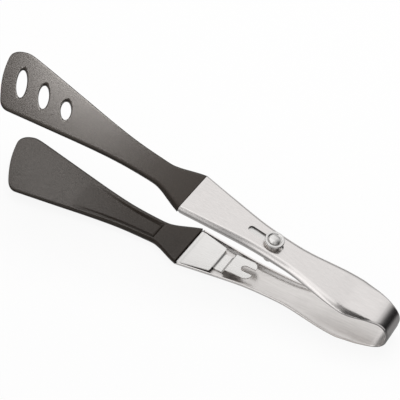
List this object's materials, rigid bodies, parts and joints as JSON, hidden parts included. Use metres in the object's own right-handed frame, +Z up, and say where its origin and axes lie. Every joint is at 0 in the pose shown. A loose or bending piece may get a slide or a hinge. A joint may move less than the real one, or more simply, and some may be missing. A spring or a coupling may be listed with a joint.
{
  "type": "kitchen tongs",
  "caption": "Kitchen turner tongs with steel channel arms joined by a bow spring, nylon turner blades, drain slots in the upper blade and a sliding lock.",
  "frame": {"origin": "on the lower arm's flat outer face, where the tongs lie, on the centre line 80 mm ahead of the bow's end", "axes": "+X along the lower arm from the blades to the bow spring, +Y crosswise, +Z up from the surface that the tongs lie on towards the upper arm"},
  "size_m": [0.3031, 0.0478, 0.0907],
  "materials": {
    "steel_outer": "satin brushed along the arm",
    "steel_inner": "brushed sheet",
    "steel_bright": "turned and polished",
    "nylon": "fine-grained matt anthracite nylon"
  },
  "bodies": {
    "lower_half": {"lower_arm": "steel_outer", "spring_bow": "steel_outer", "lower_blade": "nylon", "catch_plate": "steel_inner"},
    "upper_half": {"upper_arm": "steel_outer", "upper_blade": "nylon", "upper_cover_plate": "steel_inner"},
    "lock_slider": {"lock_knob": "steel_bright", "lock_pin": "steel_bright", "slide_plate": "steel_inner"}
  },
  "joints": [
    {"name": "squeeze", "type": "hinge", "parent": "lower_half", "child": "upper_half", "pos_m": [0.07937, 0, 0.01072], "axis": [0, -1, 0], "range_deg": [0, 15.2], "stiffness_Nm_per_rad": 4, "springref_deg": -1.15, "deforming": ["spring_bow"]},
    {"name": "lock_slide", "type": "slide", "parent": "upper_half", "child": "lock_slider", "axis": [-0.9673, 0, 0.2538], "range_m": [-0.0046, 0.0158]}
  ]
}
